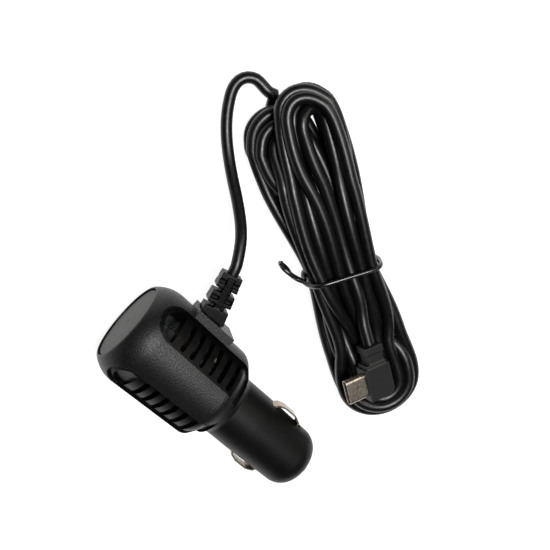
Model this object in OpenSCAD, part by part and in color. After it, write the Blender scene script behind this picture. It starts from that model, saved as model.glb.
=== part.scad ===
// Power adapter for a vehicle's 12 V socket, with a long lead folded into a hank and an angled USB-C plug.
// The adapter is drawn along X in its own frame, from the end disc at x = 0 to the tip, and is then laid down.

/* [Head] */
// Largest radius of the head, on its ridges
head_r = 16.7; // [16:0.1:18]
// Radius of the head at its open end
bezel_r = 13.2; // [12.8:0.1:13.6]
// Distance from the open end to the widest ring
widest_x = 8; // [7:0.5:9]
// Distance from the open end to the start of the shoulder
shoulder_x = 34.1; // [34:0.1:35]
// Draft of the head's side, which is also the tilt of the resting adapter, in degrees
draft = 1.54; // [1.2:0.02:2]
// Radius of the hollow inside the head
cavity_r = 12.2; // [11.8:0.1:12.4]

/* [Windows] */
// Depth of the four smooth windows below the ridges
window_depth = 1.0; // [0.6:0.1:1.2]
// Half width of a window
window_half = 6.3; // [5.8:0.1:6.6]
// Number of cooling slots in each window
slot_count = 6; // [4:1:6]
// Position of the first slot
slot_first_x = 14.8; // [14.5:0.1:15.5]
// Distance between slots
slot_pitch = 3.75; // [3.4:0.05:3.8]
// Width of a slot
slot_w = 1.7; // [1.2:0.1:2]

/* [Plug barrel] */
// Radius of the straight part of the barrel
barrel_r = 10.45; // [10.3:0.05:10.5]
// Radius of the barrel where the nose begins
barrel_tip_r = 10.05; // [9.9:0.05:10.2]
// Length of the straight part of the barrel
barrel_straight = 8.6; // [7:0.2:9]
// Distance from the end disc to the nose's flat end
nose_x = 75.5; // [75:0.5:77]
// Rounding of the nose
nose_round = 6.5; // [5.5:0.5:7]

/* [Contacts] */
// How far the centre contact stands out of the nose
tip_stand = 2.5; // [2.3:0.1:3]
// How far the side contacts' crowns are from the axis
crown_y = 12.0; // [11.6:0.1:12.2]
// Width of a side contact
contact_w = 4.2; // [3.6:0.2:4.4]

/* [Lead] */
// Diameter of the lead
lead_d = 3.8; // [3:0.1:3.9]
// Length of the strain relief outside the head
relief_len = 14.7; // [13:0.1:16]
// Lean of the strain relief towards the end disc, in degrees
relief_lean = 17; // [14:1:18]
// Height of the hank on its upper stretch
hank_h = 20; // [20:1:24]
// Height of the hank under the plug
hank_low_h = 14.2; // [13:0.1:14.2]

/* [USB-C plug] */
// Width of the plug's metal shell
usb_w = 8.34; // [8.3:0.01:8.4]
// Thickness of the plug's metal shell
usb_t = 2.56; // [2.5:0.01:2.6]
// Length of the metal shell
usb_len = 6.65; // [6.2:0.05:7]
// Size of the moulded housing along the lead
housing_l = 11; // [10:0.5:12]
// Size of the moulded housing along the metal shell
housing_w = 9; // [9:0.5:10]
// Thickness of the moulded housing
housing_t = 6; // [5.5:0.5:6]

/* [Hidden] */
$fn = 64;
eps = 0.01;
far = 30;

// head profile: front arc, drafted side, shoulder arc, 45 degree slope and neck fillet
front_arc_r = 11.35;
front_c = [widest_x, head_r - front_arc_r];
shoulder_arc_r = 5;
neck_fillet_r = 2;
neck_r = barrel_r + 0.05;
side_start = front_c + front_arc_r * [sin(draft), cos(draft)];
shoulder_start = [shoulder_x, side_start[1] - (shoulder_x - side_start[0]) * tan(draft)];
shoulder_c = shoulder_start - shoulder_arc_r * [sin(draft), cos(draft)];
slope_top = shoulder_c + shoulder_arc_r * [sin(45), cos(45)];
fillet_r_start = neck_r + neck_fillet_r * (1 - cos(45));
fillet_c = [slope_top[0] + slope_top[1] - fillet_r_start + neck_fillet_r * sin(45), neck_r + neck_fillet_r];
neck_x = fillet_c[0];
disc_seat = 2;
disc_seat_r = 12.9;
cavity_end = 33.5;
spigot_r = 9;
window_arch_x = 9.8;
slot_half = window_half - 1.2;
window_angles = [-45, 45, 135, -135];

// barrel
nose_c = [nose_x - nose_round, barrel_tip_r - nose_round];
barrel_wall = 2.05;
nose_hole_r = 2.6;
nose_wall = 2.1;
fuse_r = 2.6;
fuse_x = 43;
fuse_len = 20;
fuse_cap_len = 5;

// strain relief boss
boss_x = [13, 27];
boss_half = 6;
boss_top = 18;
relief_x = 18;

// board plane
board_top = -5;
board_t = 1.6;

// the laid adapter rests on its lower ridge and its box is centred on the origin
dome_h = 1;
dome_base = nose_hole_r - 0.08;
dome_r = (dome_base * dome_base + dome_h * dome_h) / (2 * dome_h);
tip_x = nose_x + tip_stand;
lay_x_max = (tip_x - dome_r) * cos(draft) + dome_r;
lay_x_min = -bezel_r * sin(draft);
lay_shift = [-(lay_x_max + lay_x_min) / 2, -(boss_top - head_r) / 2,
    front_arc_r + front_c[0] * sin(draft) + front_c[1] * cos(draft)];

// hank: its own frame starts at its upper end, x down the hank and y to its outer side
hank_at = [-49, 91.3];
hank_turn = -30.7;
hank_lobes = [[17, -9.7, 16.8], [58, -4.9, 13.3], [102.5, -0.9, 15.2]];
hank_entry = [0.6, -14, 1.95];
step_x = 85.5;
tie_x = 61.5;
tie_d = 1.6;
tie_y = [-18.2, 7.8];

// plug on the hank
plug_at = [97.8, -4.3];
plug_z = 18.4;
plug_roll = -16;
stem_w = 5.5;
stem_y = 0.45;

// free stretch of the lead, from the strain relief down to the table and round to the hank
route = [[-26.9, 35.6, 16.1], [-29.8, 40.2, 14.4], [-33.2, 44.1, 11.6], [-38.2, 48.3, 8.2], [-43.4, 52.1, 5.2],
    [-48.2, 55.8, 3.2], [-53.2, 60.1, 2.2], [-57.3, 64.5, 1.95], [-60.3, 68.8, 1.95], [-62, 72.4, 1.95],
    [-61.9, 75.9, 1.95], [-59.6, 78.5, 1.95]];

function arc(c, r, a0, a1, n) = [for (i = [0:n]) let (a = a0 + (a1 - a0) * i / n) c + r * [sin(a), cos(a)]];
function unit(v) = v / norm(v);
function laid(p) = [p[0] * cos(draft) + p[2] * sin(draft), p[1], p[2] * cos(draft) - p[0] * sin(draft)] + lay_shift;
function hank_point(p) = [hank_at[0] + p[0] * cos(hank_turn) - p[1] * sin(hank_turn),
    hank_at[1] + p[0] * sin(hank_turn) + p[1] * cos(hank_turn), p[2]];
function heading(pts, i, first, last) =
    i == 0 ? first : i == len(pts) - 1 ? last : unit(unit(pts[i + 1] - pts[i]) + unit(pts[i] - pts[i - 1]));
function ring_point(p, t, r, a, ref) =
    let (side = unit(cross(t, ref)), up = cross(t, side))
    p + r * (side * cos(a) + up * sin(a));

// outer (inset = 0) or window (inset > 0) profile of the head, as [x, radius]
function head_profile(inset) =
    let (a0 = asin((0.3 - front_c[0]) / (front_arc_r - inset)))
    concat(arc(front_c, front_arc_r - inset, a0, draft, 17), arc(shoulder_c, shoulder_arc_r - inset, draft, 45, 8));

// a tube along points; ref is a direction that the tube never runs along
module tube(pts, d, sides, first, last, ref = [0, 0, 1]) {
    rings = [for (i = [0:len(pts) - 1]) [for (k = [0:sides - 1])
        ring_point(pts[i], heading(pts, i, first, last), d / 2, 360 * (k + 0.5) / sides, ref)]];
    count = len(pts);
    polyhedron(
        points = [for (r = rings) for (p = r) p],
        faces = concat(
            [[for (k = [0:sides - 1]) k]],
            [for (i = [0:count - 2]) for (k = [0:sides - 1])
                [i * sides + k, (i + 1) * sides + k, (i + 1) * sides + (k + 1) % sides, i * sides + (k + 1) % sides]],
            [[for (k = [sides - 1:-1:0]) (count - 1) * sides + k]]),
        convexity = 6);
}

module lay() { translate(lay_shift) rotate([0, draft, 0]) children(); }
module on_hank() { translate([hank_at[0], hank_at[1], 0]) rotate([0, 0, hank_turn]) children(); }
module revolve(profile) { rotate([0, 90, 0]) rotate_extrude($fn = 96) polygon([for (p = profile) [p[1], p[0]]]); }
module rod(x0, x1, r) { translate([x0, 0, 0]) rotate([0, 90, 0]) cylinder(r = r, h = x1 - x0); }
module block(lo, hi) { translate(lo) cube(hi - lo); }
module stadium(l, w) {
    square([l - w, w], center = true);
    for (s = [-1, 1]) translate([s * (l - w) / 2, 0]) circle(d = w, $fn = 24);
}
module rounded(size, r) {
    for (s = [[0, r], [r, 0]]) square([size[0] - 2 * s[0], size[1] - 2 * s[1]], center = true);
    for (sx = [-1, 1], sy = [-1, 1]) translate([sx * (size[0] / 2 - r), sy * (size[1] / 2 - r)]) circle(r, $fn = 24);
}

// ---- head ----
module window_outline() {
    translate([window_arch_x, 0]) circle(window_half);
    translate([window_arch_x, -window_half]) square([far, 2 * window_half]);
}
module arch_opening() {
    intersection() {
        translate([10.6, 0]) circle(slot_half);
        translate([5, -window_half]) square([6.1, 2 * window_half]);
    }
}
module window_cut() {
    difference() {
        translate([0, 0, cavity_r - 2]) linear_extrude(10) window_outline();
        revolve(concat([[-1, 0], [-1, 6]], head_profile(window_depth),
            [[shoulder_c[0] + shoulder_c[1] + (shoulder_arc_r - window_depth) * sqrt(2) - neck_r - 0.4, neck_r + 0.4],
             [far * 2, neck_r + 0.4], [far * 2, 0]]));
    }
    for (i = [0:slot_count - 1]) translate([slot_first_x + i * slot_pitch, 0, cavity_r - 1.4])
        linear_extrude(10) rotate(90) stadium(2 * slot_half, slot_w);
}
module head_shell() {
    color([0.06, 0.06, 0.06]) lay() {
        difference() {
            union() {
                revolve(concat([[0, disc_seat_r], [0, bezel_r]], head_profile(0),
                    arc(fillet_c, -neck_fillet_r, 45, 0, 6), [[neck_x, spigot_r],
                    [cavity_end + cavity_r - spigot_r, spigot_r], [cavity_end, cavity_r],
                    [disc_seat, cavity_r], [disc_seat, disc_seat_r]]));
                difference() {
                    block([boss_x[0], cavity_r, -boss_half], [boss_x[1], boss_top, boss_half]);
                    rod(0, neck_x, cavity_r + 1);
                }
            }
            for (a = window_angles) rotate([a, 0, 0]) window_cut();
            for (a = [-45, -135]) rotate([a, 0, 0]) translate([0, 0, cavity_r - 1.4]) linear_extrude(10) arch_opening();
            for (a = [45, 135]) rotate([a, 0, 0]) translate([0, 0, 14.5]) rotate([a < 90 ? 6 : -6, 0, 0])
                linear_extrude(10) arch_opening();
            block([relief_x - 3, 5, -2.6], [relief_x + 3, far, 2.6]);
        }
        intersection() {
            rod(8, 31, cavity_r + 0.4);
            for (s = [-1, 1], z = [board_top + 0.05, board_top - board_t - 0.8])
                translate([8, s > 0 ? 9 : -13, z]) cube([22, 4, 0.75]);
        }
    }
}
module end_disc() {
    color([0.16, 0.15, 0.14]) lay() revolve([[0.25, 0.6], [0.3, 8], [0.45, 12.3], [0.8, 12.65], [disc_seat, 12.65],
        [disc_seat, 12.1], [5, 12.1], [5, 11.2], [2, 11.2], [2, 0.6]]);
}
module light_pipe() {
    color([0.8, 0.85, 0.9, 0.6]) lay() { rod(0.35, 2, 0.6); rod(2, 2.9, 1.4); }
}
module status_led() {
    color([0.7, 0.8, 1]) lay() {
        rod(4.6, 7.6, 1.5);
        translate([4.6, 0, 0]) sphere(1.5, $fn = 24);
        for (s = [-1, 1]) {
            block([7.6, s * 0.8 - 0.2, -0.2], [8.6, s * 0.8 + 0.2, 0.2]);
            block([8.6, s * 0.8 - 0.2, board_top], [9, s * 0.8 + 0.2, 0.2]);
        }
    }
}

// ---- electronics on the board ----
module circuit_board() {
    color([0.05, 0.3, 0.12]) lay() {
        block([6, -9.8, board_top - board_t], [33, 9.8, board_top]);
        block([33 - eps, -4, board_top - board_t], [41, 4, board_top]);
    }
}
module on_board(x, y) { lay() translate([x, y, board_top]) children(); }
module inductor_core() {
    color([0.15, 0.15, 0.16]) on_board(15.5, -4) {
        cylinder(r = 4.6, h = 1);
        cylinder(r = 1.8, h = 6);
        translate([0, 0, 5]) cylinder(r = 4.6, h = 1);
    }
}
module inductor_coil() {
    color([0.72, 0.38, 0.18]) on_board(15.5, -4) translate([0, 0, 1]) difference() {
        cylinder(r = 4.1, h = 4);
        translate([0, 0, -1]) cylinder(r = 1.8, h = 6);
    }
}
module can(r, h) {
    rotate_extrude() polygon([[0, 0], [r - 0.3, 0], [r, 0.3], [r, 1.2], [r - 0.25, 1.5], [r, 1.8], [r, h - 0.4],
        [r - 0.4, h], [0, h]]);
}
module input_capacitor() { color([0.75, 0.76, 0.78]) on_board(26.5, -4.6) can(4, 9); }
module output_capacitor() { color([0.75, 0.76, 0.78]) on_board(27, 4.2) can(3.15, 7.5); }
module legged_package(l, w, h, leg_count) {
    translate([-l / 2, -w / 2, 0.15]) cube([l, w, h - 0.15]);
    for (i = [0:leg_count - 1], s = [-1, 1])
        translate([(i - (leg_count - 1) / 2) * 1.27 - 0.2, s > 0 ? w / 2 : -w / 2 - 0.9, 0]) cube([0.4, 0.9, 0.5]);
}
module regulator_chip() { color([0.1, 0.1, 0.1]) on_board(13, 4) legged_package(4.9, 3.9, 1.6, 4); }
module rectifier_diode() { color([0.12, 0.12, 0.12]) on_board(21, 4) legged_package(2.6, 4.3, 2.2, 1); }
module chip_parts() {
    color([0.55, 0.45, 0.35]) for (p = [[8.5, 6], [8.5, -6.5], [20.8, -1.6], [21.6, -7.6], [31.2, 0], [31.2, 7.5]])
        on_board(p[0], p[1]) translate([-1, -0.6, 0]) cube([2, 1.2, 0.7]);
}
module red_conductor() {
    color([0.7, 0.08, 0.06]) lay() tube([[19.5, 10.5, 0.9], [19.6, 9.2, 0.6], [19.8, 8.3, -1.2], [19.9, 8, -3],
        [19.9, 8, board_top]], 1.3, 8, [0, -1, 0], [0, 0, -1], [1, 0, 0]);
}
module black_conductor() {
    color([0.05, 0.05, 0.05]) lay() tube([[16.6, 10.5, -0.4], [16.5, 9.2, -0.8], [16.4, 8.4, -2], [16.4, 8.2, -3.4],
        [16.4, 8.2, board_top]], 1.3, 8, [0, -1, 0], [0, 0, -1], [1, 0, 0]);
}

// ---- plug barrel ----
module barrel_shell() {
    color([0.05, 0.05, 0.05]) lay() {
        difference() {
            revolve(concat([[35, 7.9], [35, spigot_r - 0.05], [neck_x, spigot_r - 0.05], [neck_x, barrel_r],
                [neck_x + barrel_straight, barrel_r]],
                arc(nose_c, nose_round, 0, 90, 14),
                [[nose_x, nose_hole_r], [nose_x - nose_wall, nose_hole_r], [nose_x - nose_wall, 3.7], [70.5, 3.7],
                 [66, barrel_r - barrel_wall], [neck_x + 0.6, barrel_r - barrel_wall], [neck_x, 7.9]]));
            for (s = [-1, 1]) block([52.6, s > 0 ? 7.5 : -13, -contact_w / 2 - 0.4],
                [65.4, s > 0 ? 13 : -7.5, contact_w / 2 + 0.4]);
        }
        difference() {
            union() {
                rod(46, 62, 4);
                for (s = [-1, 1]) block([54, -0.6, s > 0 ? 3.5 : -8.6], [62, 0.6, s > 0 ? 8.6 : -3.5]);
            }
            rod(45, 63, fuse_r + 0.1);
        }
    }
}
module fuse_glass() { color([0.8, 0.9, 0.9, 0.5]) lay() rod(fuse_x + fuse_cap_len, fuse_x + fuse_len - fuse_cap_len, 2.45); }
module fuse_caps() {
    color([0.8, 0.78, 0.74]) lay() for (x = [fuse_x, fuse_x + fuse_len - fuse_cap_len]) rod(x, x + fuse_cap_len, fuse_r);
}
module fuse_clip() {
    color([0.75, 0.6, 0.3]) lay() {
        block([42.2, -1.5, board_top], [43, 1.5, 2.2]);
        block([36.5, -1.5, board_top], [42.2 + eps, 1.5, board_top + 0.5]);
    }
}
module tip_spring() {
    turns = 6;
    steps = 12;
    x0 = fuse_x + fuse_len;
    x1 = 71.3;
    wire = 0.55;
    coil = [for (i = [0:turns * steps]) let (a = 360 * i / steps)
        [x0 + wire / 2 + (x1 - x0 - wire) * i / (turns * steps), 2.45 * cos(a), 2.45 * sin(a)]];
    color([0.7, 0.7, 0.7]) lay() tube(coil, wire, 6, [0, 0, 1], [0, 0, 1], [1, 0, 0]);
}
module centre_contact() {
    color([0.8, 0.74, 0.64]) lay() revolve(concat([[71.3, 0], [71.3, 3.4], [nose_x - nose_wall - 0.1, 3.4],
        [nose_x - nose_wall - 0.1, dome_base]],
        arc([tip_x - dome_r, 0], dome_r, 90 - acos((dome_r - dome_h) / dome_r), 90, 8)));
}
module side_contact() {
    translate([0, 0, -contact_w / 2]) linear_extrude(contact_w) polygon([[53.4, 6.5], [53.4, crown_y - 2.2],
        [54.6, crown_y - 0.8], [57, crown_y], [61.5, crown_y], [63.8, crown_y - 1], [64.6, crown_y - 2.4],
        [64.6, 8.3], [64.1, 8.3], [64.1, crown_y - 2.6], [63.4, crown_y - 1.4], [61.3, crown_y - 0.5],
        [57.1, crown_y - 0.5], [55, crown_y - 1.2], [53.9, crown_y - 2.4], [53.9, 6.5]]);
}
module side_contact_left() { color([0.8, 0.74, 0.64]) lay() side_contact(); }
module side_contact_right() { color([0.8, 0.74, 0.64]) lay() mirror([0, 1, 0]) side_contact(); }
module contact_yoke() {
    color([0.75, 0.7, 0.6]) lay() {
        difference() { rod(49.5, 52.2, 4.6); rod(49, 53, 4.05); }
        for (s = [-1, 1]) block([49.5, s > 0 ? 4.3 : -8.2, -2], [50, s > 0 ? 8.2 : -4.3, 2]);
    }
}
module ground_lead() {
    color([0.05, 0.05, 0.05]) lay() tube([[49.4, -6.4, 0], [47.5, -6.4, -0.4], [44.5, -5.2, -2.4], [41.5, -3.4, -3.6],
        [39.6, -3, -4], [39.2, -3, board_top]], 1.2, 8, [-1, 0, 0], [0, 0, -1], [0, 1, 0]);
}

// ---- strain relief and lead ----
// one block of the relief, tapered from height h0 to height h1 along its axis
function relief_size(h) = let (k = h / relief_len) [8.4 - 2 * k, 6.6 - 1.4 * k];
module relief_block(h0, h1, inset = 0) {
    s0 = relief_size(h0) - [inset, inset];
    s1 = relief_size(h1) - [inset, inset];
    hull() for (e = [[h0, s0], [h1 - 0.1, s1]])
        translate([-e[1][0] / 2, e[0], -e[1][1] / 2]) cube([e[1][0], 0.1, e[1][1]]);
}
module relief_frame() { translate([relief_x, boss_top, 0]) rotate([0, 0, relief_lean]) children(); }
module strain_relief() {
    color([0.04, 0.04, 0.04]) lay() {
        intersection() {
            relief_frame() difference() {
                union() {
                    relief_block(-1, relief_len, 3);
                    relief_block(-1, 3.4);
                    relief_block(4.7, 8.5);
                    relief_block(9.8, relief_len);
                }
                for (h = [5.9, 11.2], s = [-1, 1], z = [-1, 1])
                    translate([s * 2.1 - 1.2, h, z > 0 ? 1.9 : -4.9]) cube([2.4, 1.3, 3]);
            }
            block([0, boss_top, -far], [far, far * 2, far]);
        }
        block([relief_x - 2.9, 10.5, -2.5], [relief_x + 2.9, boss_top + eps, 2.5]);
        block([relief_x - 4, 10.5, -3.4], [relief_x + 4, 11.6, 3.4]);
    }
}
module cable() {
    out_dir = [-sin(relief_lean), cos(relief_lean), 0];
    start = [relief_x, boss_top, 0] + relief_len * out_dir;
    first = laid(start);
    last = hank_point(hank_entry);
    color([0.04, 0.04, 0.04]) tube(concat([first], route, [last]), lead_d, 8,
        unit(laid(start + out_dir) - first), unit(hank_point(hank_entry + [0.92, 0.4, 0]) - last));
}
module hank_outline() {
    for (i = [0:1]) hull() for (l = [hank_lobes[i], hank_lobes[i + 1]]) translate([l[0], l[1]]) circle(l[2], $fn = 48);
}
module tie_section(grow) {
    translate([(tie_y[0] + tie_y[1]) / 2, hank_h / 2])
        rounded([tie_y[1] - tie_y[0] + grow, hank_h - 0.2 + grow], 5);
}
module across_hank(x0, x1) { translate([x0, 0, 0]) rotate([90, 0, 90]) linear_extrude(x1 - x0) children(); }
module cable_hank() {
    color([0.04, 0.04, 0.04]) on_hank() difference() {
        linear_extrude(hank_h, convexity = 4) hank_outline();
        block([step_x, -far, hank_low_h], [far * 5, far, far]);
        across_hank(tie_x - tie_d / 2, tie_x + tie_d / 2) difference() {
            translate([-50, -10]) square([100, 50]);
            tie_section(-2 * tie_d);
        }
    }
}
module twist_tie() {
    color([0.05, 0.05, 0.05]) on_hank() {
        across_hank(tie_x - tie_d / 2, tie_x + tie_d / 2) difference() {
            tie_section(0);
            tie_section(-2 * tie_d);
        }
        tube([[tie_x, -18, 10.5], [59.5, -20.6, 11.5], [56, -22.6, 12], [52.5, -24.2, 12]], 2, 8,
            unit([-0.5, -1, 0.1]), unit([-1, -0.4, 0]));
    }
}

// ---- USB-C plug ----
module on_plug() {
    on_hank() translate([plug_at[0], plug_at[1], plug_z]) rotate([plug_roll, 0, 0]) children();
}
module usb_housing() {
    color([0.05, 0.05, 0.05]) on_plug() {
        translate([0, 0, -housing_t / 2]) linear_extrude(housing_t) difference() {
            square([housing_l, housing_w], center = true);
            translate([housing_l / 2 - 2.5, housing_w / 2 - 2.5]) difference() {
                square(4);
                circle(2.5);
            }
        }
        block([step_x - plug_at[0], stem_y - stem_w / 2, -2.6], [-housing_l / 2 + eps, stem_y + stem_w / 2, 2.6]);
    }
}
module along_shell(y0, y1) { translate([0, -housing_w / 2 - y0, 0]) rotate([90, 0, 0]) linear_extrude(y1 - y0) children(); }
module usb_shell() {
    color([0.78, 0.75, 0.7]) on_plug() along_shell(0, usb_len) difference() {
        stadium(usb_w, usb_t);
        stadium(usb_w - 0.6, usb_t - 0.6);
    }
}
module usb_insert() {
    color([0.04, 0.04, 0.04]) on_plug() {
        along_shell(0, 1) stadium(usb_w - 0.6, usb_t - 0.6);
        along_shell(1, 5.6) difference() {
            stadium(usb_w - 0.6, usb_t - 0.6);
            square([6.8, 1.1], center = true);
        }
    }
}
module usb_contacts() {
    color([0.8, 0.62, 0.25]) on_plug() for (i = [-4:4], s = [-1, 1])
        along_shell(1, 5.2) translate([i * 0.7, s * 0.49]) square([0.3, 0.12], center = true);
}

head_shell();
barrel_shell();
end_disc();
light_pipe();
status_led();
circuit_board();
inductor_core();
inductor_coil();
input_capacitor();
output_capacitor();
regulator_chip();
rectifier_diode();
chip_parts();
fuse_glass();
fuse_caps();
fuse_clip();
tip_spring();
centre_contact();
side_contact_left();
side_contact_right();
contact_yoke();
ground_lead();
red_conductor();
black_conductor();
strain_relief();
cable();
cable_hank();
twist_tie();
usb_housing();
usb_shell();
usb_insert();
usb_contacts();
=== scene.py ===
"""Looks of the vehicle power adapter: its folded lead as one cord, its moulded pieces and its materials."""
import math

import bpy
import numpy as np
from mathutils import Matrix, Vector


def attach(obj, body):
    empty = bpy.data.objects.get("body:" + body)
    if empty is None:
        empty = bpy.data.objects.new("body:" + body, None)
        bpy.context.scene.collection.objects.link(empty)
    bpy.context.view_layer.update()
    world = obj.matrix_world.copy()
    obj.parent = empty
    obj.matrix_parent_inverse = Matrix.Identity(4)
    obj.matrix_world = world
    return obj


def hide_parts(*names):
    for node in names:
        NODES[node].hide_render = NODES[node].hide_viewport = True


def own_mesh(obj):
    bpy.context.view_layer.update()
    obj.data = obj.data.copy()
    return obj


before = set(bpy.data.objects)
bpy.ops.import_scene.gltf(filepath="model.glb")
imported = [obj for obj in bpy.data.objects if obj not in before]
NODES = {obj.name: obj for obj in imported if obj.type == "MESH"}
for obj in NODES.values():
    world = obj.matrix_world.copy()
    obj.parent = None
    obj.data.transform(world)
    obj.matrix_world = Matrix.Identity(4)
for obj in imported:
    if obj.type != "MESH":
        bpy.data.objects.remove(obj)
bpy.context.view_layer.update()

# ---- places and sizes, in metres and radians ----
LEAD_D = 0.0038
LEAD_R = LEAD_D / 2
RELIEF_LEAN = math.radians(17)
RELIEF_LENGTH = 0.0147
RELIEF_X = 0.018
BOSS_TOP = 0.018
DRAFT = math.radians(1.54)
LAY_SHIFT = Vector((-0.038809, -0.00065, 0.016913))
ADAPTER = Matrix.Translation(LAY_SHIFT) @ Matrix.Rotation(DRAFT, 4, "Y")
HANK = Matrix.Translation((-0.049, 0.0913, 0)) @ Matrix.Rotation(math.radians(-30.7), 4, "Z")

# free stretch of the lead, from the strain relief to the upper end of the hank
ROUTE = [
    (-0.0269, 0.0356, 0.0161), (-0.0298, 0.0402, 0.0144), (-0.0332, 0.0441, 0.0116),
    (-0.0382, 0.0483, 0.0082), (-0.0434, 0.0521, 0.0052), (-0.0482, 0.0558, 0.0032),
    (-0.0532, 0.0601, 0.0022), (-0.0573, 0.0645, 0.00195), (-0.0603, 0.0688, 0.00195),
    (-0.0620, 0.0724, 0.00195), (-0.0619, 0.0759, 0.00195), (-0.0596, 0.0785, 0.00195),
]

# the hank in its own frame: x runs down the hank, y to its outer side.
# LOBES are the circles (x, y, radius) that its outline is drawn round, the last a little inside the CAD hank
LOBES = ((0.017, -0.0097, 0.0168), (0.058, -0.0049, 0.0133), (0.1012, -0.0016, 0.0146))
HANK_HEIGHT = 0.020
# past LOW_FROM the hank is only LOW_HEIGHT high, and it comes down over LOW_SLOPE before that
LOW_HEIGHT = 0.0142
LOW_FROM = 0.0825
LOW_SLOPE = 0.019
TIE_X = 0.0615
TIE_D = 0.0016
TIE_Y = (-0.0182, 0.0078)
TURNS = 12
SHOULDER = 0.003
STEP = 0.0025
PLUG_POINTS = 16
HANK_ENTRY = np.array((0.0006, -0.0140, 0.00195))
PLUG_ENTRY = np.array((0.0855, -0.00387, 0.01828))

# the tie's wire, the contact's spring, and the size of the soft mouldings' mesh
TIE_WIRE = 0.00078
SPRING_WIRE = 0.0005
SPRING_RADIUS = 0.00245
SPRING_TURNS = 6
STEPS_PER_TURN = 24
VOXEL = 0.00014


# ---- camera, light and floor ----
def add_camera():
    """The camera, and its directions to the right, up and back."""
    data = bpy.data.cameras.new("camera")
    data.lens = 52.36
    data.sensor_width = 36
    data.clip_start = 0.01
    data.clip_end = 20
    camera = bpy.data.objects.new("camera", data)
    bpy.context.scene.collection.objects.link(camera)
    forward = Vector((0.2834, -0.0663, -0.9567)).normalized()
    right = forward.cross(Vector((-0.6542, 0.7161, -0.2434))).normalized()
    up = right.cross(forward)
    turn = Matrix((right, up, -forward)).transposed().to_4x4()
    camera.matrix_world = Matrix.Translation((-0.08479, 0.05624, 0.25126)) @ turn
    bpy.context.scene.camera = camera
    return right, up, -forward


def add_softbox(name, direction, distance, size, watts, colour=(1, 1, 1)):
    """A soft light that points at the middle of the object from a direction."""
    middle = Vector((0.0, 0.05, 0.01))
    data = bpy.data.lights.new(name, "AREA")
    data.shape = "RECTANGLE"
    data.size, data.size_y = size
    data.energy = watts
    data.color = colour
    light = bpy.data.objects.new(name, data)
    bpy.context.scene.collection.objects.link(light)
    direction = Vector(direction).normalized()
    light.location = middle + direction * distance
    light.rotation_mode = "QUATERNION"
    light.rotation_quaternion = direction.to_track_quat("Z", "Y")


def add_studio(right, up, back):
    """A key light near the camera, a warm strip at the right and a faint even light."""
    add_softbox("key", 0.24 * right - 0.14 * up + 0.95 * back, 0.60, (0.17, 0.17), 4.8)
    aside = 0.80 * right + 0.25 * up + 0.75 * back
    add_softbox("strip", aside, 0.55, (0.04, 0.30), 0.7, colour=(1, 0.93, 0.84))
    world = bpy.data.worlds.new("studio")
    world.use_nodes = True
    world.node_tree.nodes["Background"].inputs["Color"].default_value = (1, 1, 1, 1)
    world.node_tree.nodes["Background"].inputs["Strength"].default_value = 0.02
    bpy.context.scene.world = world
    bpy.context.scene.view_settings.view_transform = "Standard"


def add_floor():
    """A white floor that stays nearly white in shadow."""
    half = 1.5
    mesh = bpy.data.meshes.new("floor")
    corners = [(-half, -half, 0), (half, -half, 0), (half, half, 0), (-half, half, 0)]
    mesh.from_pydata(corners, [], [(0, 1, 2, 3)])
    floor = bpy.data.objects.new("floor", mesh)
    bpy.context.scene.collection.objects.link(floor)
    mat = bpy.data.materials.new("floor_white")
    mat.use_nodes = True
    tree = mat.node_tree
    shader = tree.nodes["Principled BSDF"]
    shader.inputs["Roughness"].default_value = 0.9
    shader.inputs["Specular IOR Level"].default_value = 0.1
    shader.inputs["Emission Color"].default_value = (1, 1, 1, 1)
    shader.inputs["Emission Strength"].default_value = 0.92
    noise = tree.nodes.new("ShaderNodeTexNoise")
    noise.inputs["Scale"].default_value = 9
    ramp = tree.nodes.new("ShaderNodeMapRange")
    ramp.inputs["To Min"].default_value = 0.30
    ramp.inputs["To Max"].default_value = 0.34
    tree.links.new(noise.outputs["Fac"], ramp.inputs["Value"])
    tree.links.new(ramp.outputs["Result"], shader.inputs["Base Color"])
    mesh.materials.append(mat)


# ---- the lead ----
def lead_slot(row, column):
    """Place of a strand where the tie holds the hank: five rows of up to six strands."""
    shift = 0.5 if row % 2 else 0
    return np.array((TIE_X, -0.0147 + 0.0038 * (column + shift), 0.0035 + 0.0033 * row))


# row and column of each turn's strand towards the lower end, and of its strand back to the upper end
DOWN_SLOTS = [
    (0, 0), (0, 1), (0, 2), (1, 0), (1, 1), (2, 2), (2, 0),
    (2, 1), (3, 1), (3, 0), (4, 1), (4, 2), (4, 3),
]
UP_SLOTS = [
    (0, 5), (0, 4), (0, 3), (1, 4), (1, 3), (2, 3),
    (2, 5), (2, 4), (3, 3), (3, 4), (4, 5), (4, 4),
]


def vary(turn, kind):
    """A fixed spread from -1 to 1, so that no two turns of the hank are alike."""
    return math.sin(12.9898 * turn + 78.233 * kind)


def upper_turn(n):
    """Middle, half width, end, height and tilt of the nth turn at the hank's upper end."""
    inner = n % 2
    layer = n // 2
    z = 0.0044 + 0.00275 * layer
    if layer >= 3 and inner:
        return -0.0050, 0.0060, 0.0066, z - 0.0018, -0.0034
    if layer >= 3:
        return -0.0031, 0.0082, 0.0012, z, 0
    if inner:
        return -0.0143 + 0.0007 * layer, 0.0074 - 0.0003 * layer, 0.0122 + 0.0010 * layer, z, 0
    return -0.0136, 0.0106 - 0.0010 * layer, 0.0072 + 0.0012 * layer, z, 0


def lower_turn(n):
    """Middle, half width, end, height and tilt of the nth turn at the hank's lower end."""
    nest = n % 3
    half = 0.0125 - 0.0027 * nest
    end = 0.1006 + 0.4 * half + 0.0075 + 0.0005 * vary(n, 4)
    return -0.0013, half, end, 0.00195 + 0.0034 * (n // 3), 0


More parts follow.
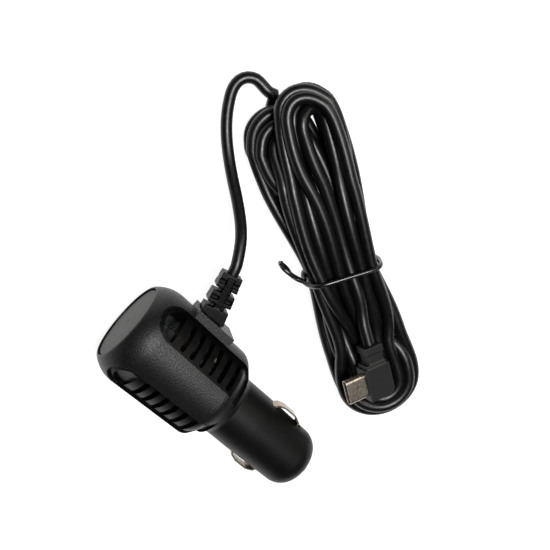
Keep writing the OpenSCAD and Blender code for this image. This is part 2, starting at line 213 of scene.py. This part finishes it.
def fold(middle, half, end, z, tilt, sign):
    """Half a circle round the hank's end; sign is 1 at the lower end and -1 at the upper."""
    pts = []
    for angle in np.radians(np.linspace(-90, 90, 7)) * sign:
        x = end - sign * half * (1 - math.cos(angle))
        pts.append(np.array((x, middle + half * math.sin(angle), z + tilt * math.sin(angle))))
    return pts


def hank_guide():
    """Points that the wound lead follows before it settles, in the hank's frame."""
    pts = [HANK_ENTRY, HANK_ENTRY + (0.0032, 0.0016, 0), HANK_ENTRY + (0.008, 0.0026, 0)]
    step = np.array((0.008, 0, 0))
    for n in range(TURNS + 1):
        tie = lead_slot(*DOWN_SLOTS[n])
        if n > 0:
            middle, half, end, z, tilt = upper_turn(n - 1)
            side = np.array((end + half + 0.003, middle - half, z - tilt))
            pts += [side, (side + tie) / 2]
        pts += [tie - step, tie + step]
        if n == TURNS:
            return np.array([*pts, PLUG_ENTRY - (0.007, 0, 0.0008), PLUG_ENTRY])
        middle, half, end, z, tilt = lower_turn(n)
        ahead = np.array((end - half - 0.012, middle, z))
        aside = np.array((0, half, tilt))
        pts += [ahead - aside, *fold(middle, half, end, z, tilt, 1), ahead + aside]
        tie = lead_slot(*UP_SLOTS[n])
        middle, half, end, z, tilt = upper_turn(n)
        side = np.array((end + half + 0.003, middle + half, z + tilt))
        pts += [tie + step, tie - step, (side + tie) / 2]
        pts += fold(middle, half, end, z, tilt, -1)


def smooth_line(points, per_span=12):
    """A Catmull-Rom curve through the points."""
    p = np.vstack([2 * points[0] - points[1], points, 2 * points[-1] - points[-2]])
    t = np.linspace(0, 1, per_span, endpoint=False)[:, None]
    spans = []
    for a, b, c, d in zip(p[:-3], p[1:-2], p[2:-1], p[3:]):
        square = 2 * a - 5 * b + 4 * c - d
        cube = 3 * b - a - 3 * c + d
        spans.append(0.5 * (2 * b + (c - a) * t + square * t**2 + cube * t**3))
    return np.vstack([*spans, p[-2:-1]])


def line_length(points):
    """Length of a line through the points."""
    return float(np.linalg.norm(np.diff(points, axis=0), axis=1).sum())


def even_steps(points, step):
    """The same line with points at equal distances."""
    along = np.concatenate([[0], np.cumsum(np.linalg.norm(np.diff(points, axis=0), axis=1))])
    at = np.linspace(0, along[-1], int(round(along[-1] / step)) + 1)
    return np.stack([np.interp(at, along, points[:, k]) for k in range(3)], 1)


def lobe_distance(xy, a, b):
    """Distance outside the hull of two circles, each (x, y, radius)."""
    a, b = np.array(a), np.array(b)
    apart = np.hypot(*(b - a)[:2])
    u = (b - a)[:2] / apart
    q = xy - a[:2]
    x, y = q @ u, np.abs(q @ (-u[1], u[0]))
    s = (a[2] - b[2]) / apart
    c = math.sqrt(1 - s * s)
    t = x * c - y * s
    side = x * s + y * c - a[2]
    from_a = np.hypot(x, y) - a[2]
    from_b = np.hypot(x - apart, y) - b[2]
    return np.where(t < 0, from_a, np.where(t > apart * c, from_b, side))


def outline_distance(xy):
    """Distance outside the hank's outline, which joins its three circles."""
    return np.minimum(lobe_distance(xy, LOBES[0], LOBES[1]), lobe_distance(xy, LOBES[1], LOBES[2]))


def keep_in_hank(p):
    """Moves points back inside the hank's rounded outline, its tie and its height, off the floor."""
    probe = 0.00005
    low = np.clip((p[:, 0] - LOW_FROM + LOW_SLOPE) / LOW_SLOPE, 0, 1)
    top = HANK_HEIGHT - LEAD_R + (LOW_HEIGHT - HANK_HEIGHT) * low
    top[-PLUG_POINTS:] = HANK_HEIGHT - LEAD_R
    p[:, 2] = np.clip(p[:, 2], LEAD_R + 0.00002, top)
    middle = (top + LEAD_R) / 2
    shoulder = np.abs((p[:, 2] - middle) / (top - middle)) ** 3
    for _ in range(2):
        d = outline_distance(p[:, :2]) + LEAD_R + SHOULDER * shoulder
        out = d > 0
        q = p[out, :2]
        steps = np.diag((probe, probe))
        slope = np.stack([outline_distance(q + v) - outline_distance(q - v) for v in steps], 1) / (2 * probe)
        p[out, :2] = q - slope * d[out][:, None]
    held = np.abs(p[:, 0] - TIE_X) < 0.003
    inner = TIE_D + LEAD_R
    corner = 0.002 * shoulder[held]
    p[held, 1] = np.clip(p[held, 1], TIE_Y[0] + inner + corner, TIE_Y[1] - inner - corner)
    p[held, 2] = np.clip(p[held, 2], inner, HANK_HEIGHT - inner)


def close_pairs(p, gap, reach):
    """Pairs of points that are near each other but not along the line."""
    a = (p * 1000).astype(np.float32)
    square = (a * a).sum(1)
    apart = square[:, None] + square[None, :] - 2 * a @ a.T
    i, j = np.nonzero(apart < (reach * 1000) ** 2)
    far = j - i > gap
    return i[far], j[far]


def push_apart(p, i, j, width):
    """Moves strands that overlap apart, each by half the overlap."""
    between = p[j] - p[i]
    apart = np.linalg.norm(between, axis=1)
    hit = apart < width
    i, j = i[hit], j[hit]
    move = between[hit] * (0.5 * (width - apart[hit]) / np.maximum(apart[hit], 1e-9))[:, None]
    total, count = np.zeros_like(p), np.zeros(len(p))
    np.add.at(total, i, -move)
    np.add.at(total, j, move)
    np.add.at(count, i, 1)
    np.add.at(count, j, 1)
    p += total / np.maximum(count, 1)[:, None] * 1.5


def settle(p, rounds, start_width):
    """Lets the wound lead find its shape: strands that press on each other give way in long smooth curves.

    Its two ends stay where they are, and its folds are held a little to the line that it starts from.
    """
    stiffness = 90
    guide = p.copy()
    place = np.arange(len(p))
    # how freely a point moves: not at all at the two ends, fully from 16 points in
    free = np.clip((np.minimum(place, place[::-1]) - 2) / 14, 0, 1)[:, None]
    free = free * free * (3 - 2 * free)
    # how much a point is drawn back to the guide: only in the folds, more towards the hank's two ends
    hold = 0.025 * np.clip(np.maximum(0.034 - p[:, :1], p[:, :1] - 0.086) / 0.022, 0, 1)
    eye = np.eye(len(p))
    curvature = np.diff(eye, 2, axis=0)
    spread = np.linalg.inv(eye + stiffness * curvature.T @ curvature)
    gap = int(round(2.4 * LEAD_D / (line_length(p) / (len(p) - 1))))
    for k in range(rounds):
        width = LEAD_D * min(1, start_width + (1 - start_width) * 1.6 * k / rounds)
        if k % 5 == 0:
            i, j = close_pairs(p, gap, 1.3 * width)
        old = p.copy()
        push_apart(p, i, j, width)
        keep_in_hank(p)
        along = np.gradient(old, axis=0)
        along /= np.linalg.norm(along, axis=1, keepdims=True)
        push = p - old
        push -= along * (push * along).sum(1, keepdims=True)
        move = 1.3 * (spread @ push) + 0.02 * (spread @ old - old) + hold * (guide - old)
        p[:] = old + free * move
    return p


def from_hank(points):
    """Points in the hank's frame, moved to where the hank lies."""
    return (np.c_[points, np.ones(len(points))] @ np.array(HANK).T)[:, :3]


def lead_path():
    """The whole lead from the strain relief to the plug, and its wound part in the hank's own frame."""
    out = Vector((-math.sin(RELIEF_LEAN), math.cos(RELIEF_LEAN), 0))
    start = Vector((RELIEF_X, BOSS_TOP, 0)) + RELIEF_LENGTH * out
    first = [ADAPTER @ start, ADAPTER @ (start + 0.002 * out)]
    wound = even_steps(smooth_line(hank_guide()), STEP)
    wound = settle(wound, 400, 0.5)
    rows = from_hank(wound)
    free = even_steps(smooth_line(np.array([*first, *ROUTE, rows[0], rows[3]])), STEP)
    near = int(np.linalg.norm(free - rows[0], axis=1).argmin())
    return np.vstack([free[:near], rows]), wound


def swept(name, line, radius, sides=10):
    """A round bar along a line, with closed ends, as a mesh."""
    along = np.gradient(line, axis=0)
    along /= np.linalg.norm(along, axis=1, keepdims=True)
    side = np.cross(along[0], (0.3, 0.2, 0.93))
    verts = []
    faces = []
    angles = np.linspace(0, 2 * math.pi, sides, endpoint=False)[:, None]
    for k, (at, way) in enumerate(zip(line, along)):
        side = side - way * (side @ way)
        side /= np.linalg.norm(side)
        verts.append(at + radius * (np.cos(angles) * side + np.sin(angles) * np.cross(way, side)))
        if k:
            a, b = (k - 1) * sides, k * sides
            faces += [(a + i, a + (i + 1) % sides, b + (i + 1) % sides, b + i) for i in range(sides)]
    last = (len(line) - 1) * sides
    faces += [tuple(range(sides))[::-1], tuple(range(last, last + sides))]
    mesh = bpy.data.meshes.new(name)
    mesh.from_pydata(np.vstack(verts).tolist(), [], faces)
    mesh.polygons.foreach_set("use_smooth", [True] * len(mesh.polygons))
    mesh.set_sharp_from_angle(angle=math.radians(40))
    piece = bpy.data.objects.new(name, mesh)
    bpy.context.scene.collection.objects.link(piece)
    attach(piece, "root")
    return piece


def turn_at(a, b, c):
    """More than 0 where the way from a by b to c turns left."""
    return (b[0] - a[0]) * (c[1] - a[1]) - (b[1] - a[1]) * (c[0] - a[0])


def hull(points):
    """The corners of the convex outline round flat points, anticlockwise."""
    pts = sorted(map(tuple, points))
    chains = []
    for row in (pts, pts[::-1]):
        chain = []
        for q in row:
            while len(chain) > 1 and turn_at(chain[-2], chain[-1], q) <= 0:
                chain.pop()
            chain.append(q)
        chains += chain[:-1]
    return np.array(chains)


def add_tie(wound):
    """A coated wire round the strands, both of its ends twisted together from the knot to the tips."""
    crossing = np.nonzero(np.diff(np.sign(wound[:, 0] - TIE_X)))[0]
    middles = wound[crossing, 1:]
    angles = np.linspace(0, 2 * math.pi, 24, endpoint=False)
    rim = np.stack([np.cos(angles), np.sin(angles)], 1) * (LEAD_R + TIE_WIRE)
    ring = hull((middles[:, None] + rim[None]).reshape(-1, 2))
    ring[:, 1] = np.maximum(ring[:, 1], TIE_WIRE)
    knot = np.array((ring[:, 0].min() - 0.0006, 0.0102))
    apart = np.arctan2(ring[:, 1] - 0.010, ring[:, 0] + 0.0052)
    ring = ring[np.argsort(np.mod(apart - math.pi - 0.12, 2 * math.pi))][1:-1]
    loop = even_steps(np.c_[TIE_X + 0.0009 * np.linspace(-1, 1, len(ring)), ring], 0.0018)
    tail_route = [
        (TIE_X, knot[0], knot[1]), (0.0607, -0.0193, 0.0108), (0.0583, -0.0214, 0.0116),
        (0.0554, -0.0229, 0.0120), (0.0530, -0.0239, 0.0120),
    ]
    spine = smooth_line(np.array(tail_route), 14)
    turn = np.linspace(0, 2.6 * math.pi, len(spine))
    twist = np.c_[0.64 * np.cos(turn), 0.77 * np.cos(turn), np.sin(turn)]
    wide = 0.0009 + 0.0004 * np.linspace(0, 1, len(spine)) ** 6
    ends = [spine + (sign * wide)[:, None] * twist for sign in (1, -1)]
    line = even_steps(np.vstack([ends[0][::-1], loop, ends[1]]), 0.0009)
    for _ in range(3):
        line[1:-1] = (line[:-2] + 2 * line[1:-1] + line[2:]) / 4
    line = smooth_line(line, 2)
    piece = swept("tie_wire", from_hank(line), TIE_WIRE)
    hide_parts("twist_tie")
    return piece


def add_spring():
    """The contact's spring: a coil round the adapter's axis, as long as the CAD spring."""
    node = NODES["tip_spring"]
    along = [(ADAPTER.inverted() @ node.matrix_world @ v.co).x for v in node.data.vertices]
    start = min(along)
    free = max(along) - start
    turn = np.linspace(0, SPRING_TURNS * 2 * math.pi, SPRING_TURNS * STEPS_PER_TURN + 1)
    x = start + SPRING_WIRE / 2 + (free - SPRING_WIRE) * turn / turn[-1]
    coil = zip(x, SPRING_RADIUS * np.cos(turn), SPRING_RADIUS * np.sin(turn))
    line = np.array([ADAPTER @ Vector(v) for v in coil])
    piece = swept("tip_spring_coil", line, SPRING_WIRE / 2, 8)
    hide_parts("tip_spring")
    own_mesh(piece)
    return piece


def block_at(place, low, high):
    """Corners and faces of a box given by two corners in the frame of place, in metres."""
    corners = []
    for x in (low[0], high[0]):
        for y in (low[1], high[1]):
            corners += [place @ Vector((x, y, z)) for z in (low[2], high[2])]
    faces = [(0, 1, 3, 2), (4, 6, 7, 5), (0, 4, 5, 1), (2, 3, 7, 6), (0, 2, 6, 4), (1, 5, 7, 3)]
    return corners, faces


def softened(node_name, name, rounds, extra):
    """A moulded copy of a CAD piece: extra blocks joined on, every edge rounded, in one closed skin."""
    source = NODES[node_name]
    verts = [source.matrix_world @ v.co for v in source.data.vertices]
    faces = [tuple(f.vertices) for f in source.data.polygons]
    for corners, sides in extra:
        faces += [tuple(len(verts) + i for i in side) for side in sides]
        verts += corners
    whole = bpy.data.meshes.new(name)
    whole.from_pydata([tuple(v) for v in verts], [], faces)
    piece = bpy.data.objects.new(name, whole)
    bpy.context.scene.collection.objects.link(piece)
    remesh = piece.modifiers.new("skin", "REMESH")
    remesh.mode = "VOXEL"
    remesh.voxel_size = VOXEL
    smooth = piece.modifiers.new("soft", "SMOOTH")
    smooth.factor = 0.5
    smooth.iterations = rounds
    lighter = piece.modifiers.new("lighter", "DECIMATE")
    lighter.ratio = 0.35
    done = bpy.data.meshes.new_from_object(piece.evaluated_get(bpy.context.evaluated_depsgraph_get()))
    piece.modifiers.clear()
    piece.data = done
    done.name = name
    done.polygons.foreach_set("use_smooth", [True] * len(done.polygons))
    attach(piece, "root")
    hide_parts(node_name)
    return piece


def add_lead(path):
    """The lead as one round cord, and its length."""
    fine = even_steps(smooth_line(path, 4), 0.0014)
    curve = bpy.data.curves.new("lead", "CURVE")
    curve.dimensions = "3D"
    curve.bevel_depth = 1
    curve.bevel_resolution = 4
    curve.use_fill_caps = True
    spline = curve.splines.new("POLY")
    spline.points.add(len(fine) - 1)
    spline.points.foreach_set("co", np.c_[fine, np.ones(len(fine))].astype(np.float32).ravel())
    spline.points.foreach_set("radius", np.full(len(fine), LEAD_R, np.float32))
    spline.use_smooth = True
    lead = bpy.data.objects.new("lead", curve)
    bpy.context.scene.collection.objects.link(lead)
    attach(lead, "root")
    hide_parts("cable", "cable_hank")
    return lead, line_length(fine)


right, up, back = add_camera()
add_studio(right, up, back)
add_floor()
path, wound = lead_path()
lead, lead_length = add_lead(path)
tie = add_tie(wound)
spring = add_spring()

RELIEF_PLACE = ADAPTER @ Matrix.Translation((RELIEF_X, BOSS_TOP, 0)) @ Matrix.Rotation(RELIEF_LEAN, 4, "Z")
spine_blocks = [block_at(RELIEF_PLACE, (-0.0011, 0.0030, 0.0), (0.0011, 0.0136, 0.00305))]
PLUG_TILT = Matrix.Rotation(math.radians(-16), 4, "X")
PLUG_PLACE = HANK @ Matrix.Translation((0.0978, -0.0043, 0.0184)) @ PLUG_TILT
plug_blocks = [
    block_at(PLUG_PLACE, (-0.0123, -0.0027, -0.0029), (-0.0098, 0.0036, 0.0029)),
    block_at(PLUG_PLACE, (-0.0066, -0.0036, -0.0028), (-0.0054, 0.0036, 0.0028)),
]
plug = softened("usb_housing", "usb_housing_rubber", 6, plug_blocks)
relief = softened("strain_relief", "strain_relief_rubber", 5, spine_blocks)


# ---- materials ----
def material(name):
    mat = bpy.data.materials.new(name)
    mat.use_nodes = True
    return mat, mat.node_tree, mat.node_tree.nodes["Principled BSDF"]


def object_noise(tree, scale, detail=3.0, rough=0.55):
    where = tree.nodes.new("ShaderNodeTexCoord")
    noise = tree.nodes.new("ShaderNodeTexNoise")
    noise.inputs["Scale"].default_value = scale
    noise.inputs["Detail"].default_value = detail
    noise.inputs["Roughness"].default_value = rough
    tree.links.new(where.outputs["Object"], noise.inputs["Vector"])
    return noise.outputs["Fac"]


def ranged(tree, value, low, high, start=0.3, end=0.7):
    node = tree.nodes.new("ShaderNodeMapRange")
    node.inputs["From Min"].default_value = start
    node.inputs["From Max"].default_value = end
    node.inputs["To Min"].default_value = low
    node.inputs["To Max"].default_value = high
    tree.links.new(value, node.inputs["Value"])
    return node.outputs["Result"]


def blended(tree, value, dark, light):
    node = tree.nodes.new("ShaderNodeMix")
    node.data_type = "RGBA"
    node.inputs["A"].default_value = (*dark, 1)
    node.inputs["B"].default_value = (*light, 1)
    tree.links.new(value, node.inputs["Factor"])
    return node.outputs["Result"]


def bumped(tree, shader, height, depth):
    node = tree.nodes.new("ShaderNodeBump")
    node.inputs["Strength"].default_value = 1
    node.inputs["Distance"].default_value = depth
    tree.links.new(height, node.inputs["Height"])
    tree.links.new(node.outputs["Normal"], shader.inputs["Normal"])


def surface(name, dark, light, rough, grain, depth, metallic=0.0, specular=0.5, blotch=90, **sockets):
    """A finish whose colour and roughness vary with two sizes of noise, and whose grain is also bump."""
    mat, tree, shader = material(name)
    shader.inputs["Metallic"].default_value = metallic
    shader.inputs["Specular IOR Level"].default_value = specular
    for socket, value in sockets.items():
        shader.inputs[socket.replace("_", " ")].default_value = value
    fine = object_noise(tree, grain)
    broad = object_noise(tree, blotch, 2.0)
    tree.links.new(blended(tree, ranged(tree, broad, 0, 1), dark, light), shader.inputs["Base Color"])
    tree.links.new(ranged(tree, fine, rough[0], rough[1]), shader.inputs["Roughness"])
    bumped(tree, shader, fine, depth)
    return mat


def paint(obj, *mats):
    obj.data.materials.clear()
    for mat in mats:
        obj.data.materials.append(mat)


def black(level):
    return (level, level, level)


GRAIN = surface("head_grain", black(0.0016), black(0.0032), (0.36, 0.54), 2400, 0.00011, specular=0.34)
WINDOW = surface("head_satin", black(0.0014), black(0.0022), (0.34, 0.42), 1500, 0.000008, specular=0.10)
SATIN = surface("barrel_satin", black(0.0018), black(0.0030), (0.38, 0.50), 2400, 0.00003, specular=0.18)
DISC = surface(
    "disc_satin", (0.018, 0.016, 0.014), (0.023, 0.021, 0.018),
    (0.42, 0.52), 2200, 0.00001, specular=0.18,
)
JACKET = surface(
    "lead_jacket", black(0.0015), black(0.0028),
    (0.32, 0.41), 700, 0.000015, specular=0.34, blotch=40,
)
RELIEF = surface("relief_rubber", black(0.0012), black(0.0020), (0.30, 0.42), 1800, 0.000015, specular=0.07)
TIE = surface("tie_coating", black(0.0040), black(0.0070), (0.22, 0.32), 900, 0.00001, specular=0.45)
PLUG = surface("plug_rubber", black(0.0070), black(0.0100), (0.40, 0.50), 2400, 0.00001, specular=0.35)
NICKEL = surface(
    "nickel_plate", (0.30, 0.25, 0.20), (0.42, 0.36, 0.29),
    (0.22, 0.40), 700, 0.000006, metallic=1.0,
)
STEEL = surface(
    "plug_steel", (0.40, 0.35, 0.29), (0.46, 0.41, 0.35),
    (0.32, 0.44), 1500, 0.000004, metallic=1.0,
)
BRASS = surface(
    "brass_strip", (0.60, 0.44, 0.20), (0.70, 0.52, 0.26),
    (0.25, 0.40), 800, 0.000006, metallic=1.0,
)
WIRE = surface(
    "spring_wire", (0.42, 0.42, 0.42), (0.52, 0.52, 0.51),
    (0.22, 0.35), 900, 0.000005, metallic=1.0,
)
GOLD = surface(
    "gold_plate", (0.75, 0.52, 0.20), (0.82, 0.60, 0.28),
    (0.18, 0.28), 1200, 0.000003, metallic=1.0,
)
CAN = surface(
    "can_sleeve", (0.004, 0.005, 0.008), (0.006, 0.007, 0.011),
    (0.38, 0.50), 900, 0.000006, specular=0.25,
)
COPPER = surface(
    "copper_wire", (0.20, 0.07, 0.03), (0.30, 0.11, 0.05),
    (0.40, 0.55), 2600, 0.00004, metallic=1.0,
)
BOARD = surface(
    "board_mask", (0.0025, 0.0045, 0.0032), (0.004, 0.007, 0.005),
    (0.40, 0.52), 1200, 0.00001, specular=0.2,
)
FERRITE = surface("ferrite", black(0.03), black(0.05), (0.55, 0.75), 1600, 0.00003)
EPOXY = surface("chip_epoxy", black(0.012), black(0.018), (0.50, 0.65), 2600, 0.00001)
CERAMIC = surface("chip_ceramic", (0.22, 0.15, 0.09), (0.32, 0.22, 0.14), (0.40, 0.55), 1400, 0.000006)
RED = surface("red_insulation", (0.30, 0.015, 0.012), (0.40, 0.025, 0.018), (0.30, 0.42), 900, 0.000008)
BLACK_WIRE = surface("black_insulation", black(0.010), black(0.015), (0.30, 0.42), 900, 0.000008)
GLASS = surface(
    "fuse_tube", (0.85, 0.88, 0.88), (0.92, 0.94, 0.94),
    (0.02, 0.06), 500, 0.000002, Transmission_Weight=1.0, IOR=1.5,
)
PIPE = surface(
    "clear_pipe", (0.75, 0.80, 0.85), (0.85, 0.88, 0.92),
    (0.10, 0.18), 800, 0.000003, Transmission_Weight=0.9, IOR=1.49,
)
LENS = surface(
    "led_lens", (0.70, 0.78, 0.90), (0.80, 0.86, 0.96),
    (0.12, 0.20), 800, 0.000003, Transmission_Weight=0.5, IOR=1.5,
)

CAD_FINISHES = {
    "head_shell": GRAIN, "barrel_shell": SATIN, "end_disc": DISC, "light_pipe": PIPE,
    "status_led": LENS, "circuit_board": BOARD, "inductor_core": FERRITE, "inductor_coil": COPPER,
    "input_capacitor": CAN, "output_capacitor": CAN, "regulator_chip": EPOXY, "rectifier_diode": EPOXY,
    "chip_parts": CERAMIC, "fuse_glass": GLASS, "fuse_caps": NICKEL, "fuse_clip": BRASS,
    "tip_spring": WIRE, "centre_contact": NICKEL, "side_contact_left": NICKEL,
    "side_contact_right": NICKEL, "contact_yoke": NICKEL, "ground_lead": BLACK_WIRE,
    "red_conductor": RED, "black_conductor": BLACK_WIRE, "strain_relief": RELIEF, "twist_tie": TIE,
    "usb_housing": PLUG, "usb_shell": STEEL, "usb_insert": EPOXY, "usb_contacts": GOLD,
}
for node_name, finish in CAD_FINISHES.items():
    paint(NODES[node_name], finish)
    skin = NODES[node_name].data
    skin.polygons.foreach_set("use_smooth", [True] * len(skin.polygons))
    skin.set_sharp_from_angle(angle=math.radians(28))
paint(lead, JACKET)
paint(tie, TIE)
paint(spring, WIRE)
paint(relief, RELIEF)
paint(plug, PLUG)


def in_window(centre):
    """True for a place on the head that lies in one of its four vent fields, measured in millimetres."""
    half = 6.35
    at = ADAPTER.inverted() @ centre
    angle = math.atan2(at.y, at.z)
    off = math.remainder(angle - math.pi / 4, math.pi / 2)
    across = math.hypot(at.y, at.z) * math.sin(off) * 1000
    along = at.x * 1000
    in_round_end = along > 9.8 or math.hypot(along - 10.6, across) < half
    return abs(across) < half and in_round_end and along < 36


head = NODES["head_shell"]
paint(head, GRAIN, WINDOW)
for face in head.data.polygons:
    face.material_index = int(in_window(head.matrix_world @ face.center))
